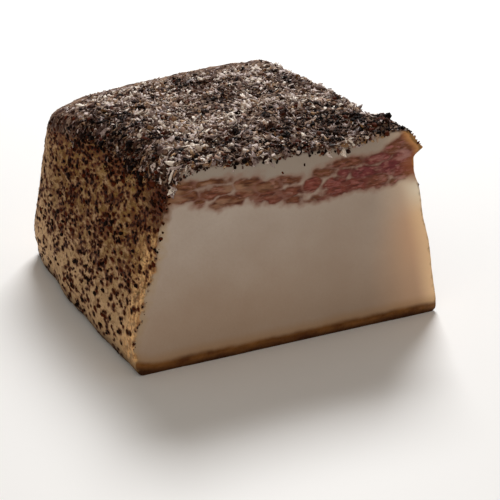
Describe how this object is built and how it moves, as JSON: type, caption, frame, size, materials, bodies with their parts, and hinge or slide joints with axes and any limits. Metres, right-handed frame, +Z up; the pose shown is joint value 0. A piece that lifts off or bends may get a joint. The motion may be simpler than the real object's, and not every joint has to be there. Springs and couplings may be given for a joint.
{
  "type": "peppered pork fatback",
  "caption": "Block of cured pork back fat with a streak of lean, crusted with cracked pepper and dried herbs on top, peppered down its sides and cut straight across at one end.",
  "frame": {"origin": "middle of the block's foot, on the surface that it rests on", "axes": "+Z up, from the skin to the peppered top; the knife-cut face looks along -Y; +X is to the right of someone facing the cut"},
  "size_m": [0.1142, 0.122, 0.0692],
  "materials": {
    "fat": "satin, slightly greasy",
    "lean": "satin, slightly greasy",
    "crust": "matte, dry cracked pepper"
  },
  "bodies": {
    "root": {"back_fat": "fat", "lean_streak": "lean", "peppered_upper_fat": "crust"}
  },
  "joints": []
}
